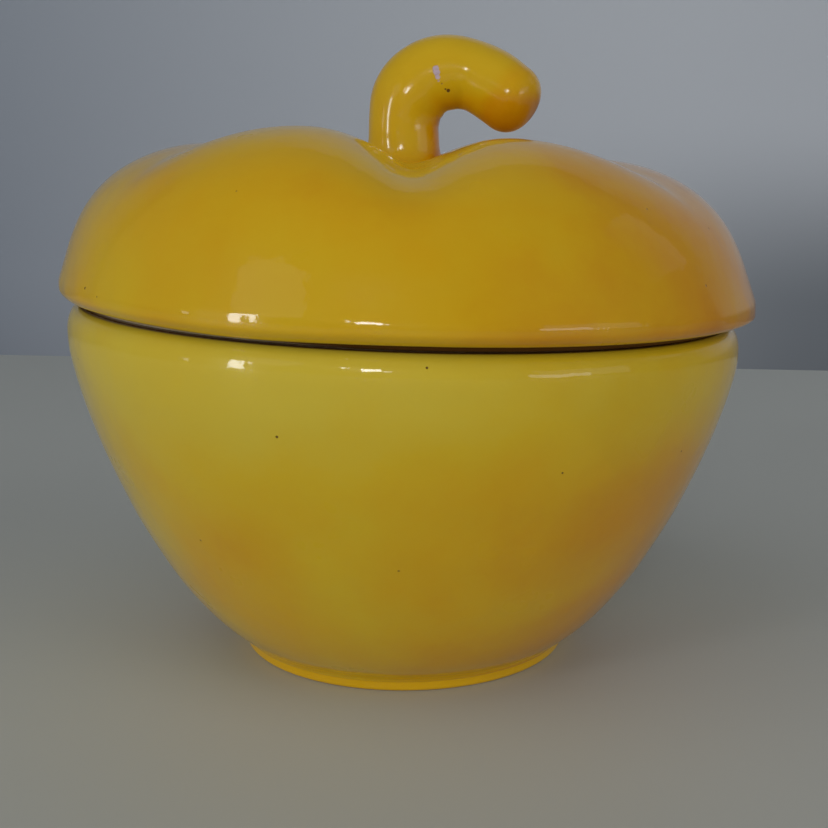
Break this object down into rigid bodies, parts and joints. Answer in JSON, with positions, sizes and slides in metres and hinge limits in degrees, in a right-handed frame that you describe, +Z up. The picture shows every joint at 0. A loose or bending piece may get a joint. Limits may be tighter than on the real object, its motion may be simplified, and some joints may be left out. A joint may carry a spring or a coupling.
{
  "type": "lidded ceramic pumpkin jar",
  "caption": "Glazed ceramic jar shaped like a squat pumpkin: a tapering bowl on a foot ring with a lobed lift-off dome lid and a curled stem as its handle.",
  "frame": {"origin": "centre of the foot ring, on the surface that the jar stands on", "axes": "+Z up out of the bowl through the lid, +X the way the stem handle curls, -Y the front"},
  "size_m": [0.16, 0.16, 0.1439],
  "materials": {
    "bowl_glaze": "glossy lemon-yellow glaze",
    "foot_glaze": "thin orange-yellow glaze, bare clay where it stands",
    "lid_glaze": "glossy warm yellow glaze",
    "flange_glaze": "thin yellow glaze",
    "stem_glaze": "glossy warm yellow glaze"
  },
  "bodies": {
    "bowl": {"bowl_body": "bowl_glaze", "foot_ring": "foot_glaze"},
    "lid": {"lid_dome": "lid_glaze", "lid_flange": "flange_glaze", "stem_handle": "stem_glaze"}
  },
  "joints": [
    {"name": "lid_lift", "type": "slide", "parent": "bowl", "child": "lid", "axis": [0, 0, 1], "range_m": [0, 0.1]}
  ]
}
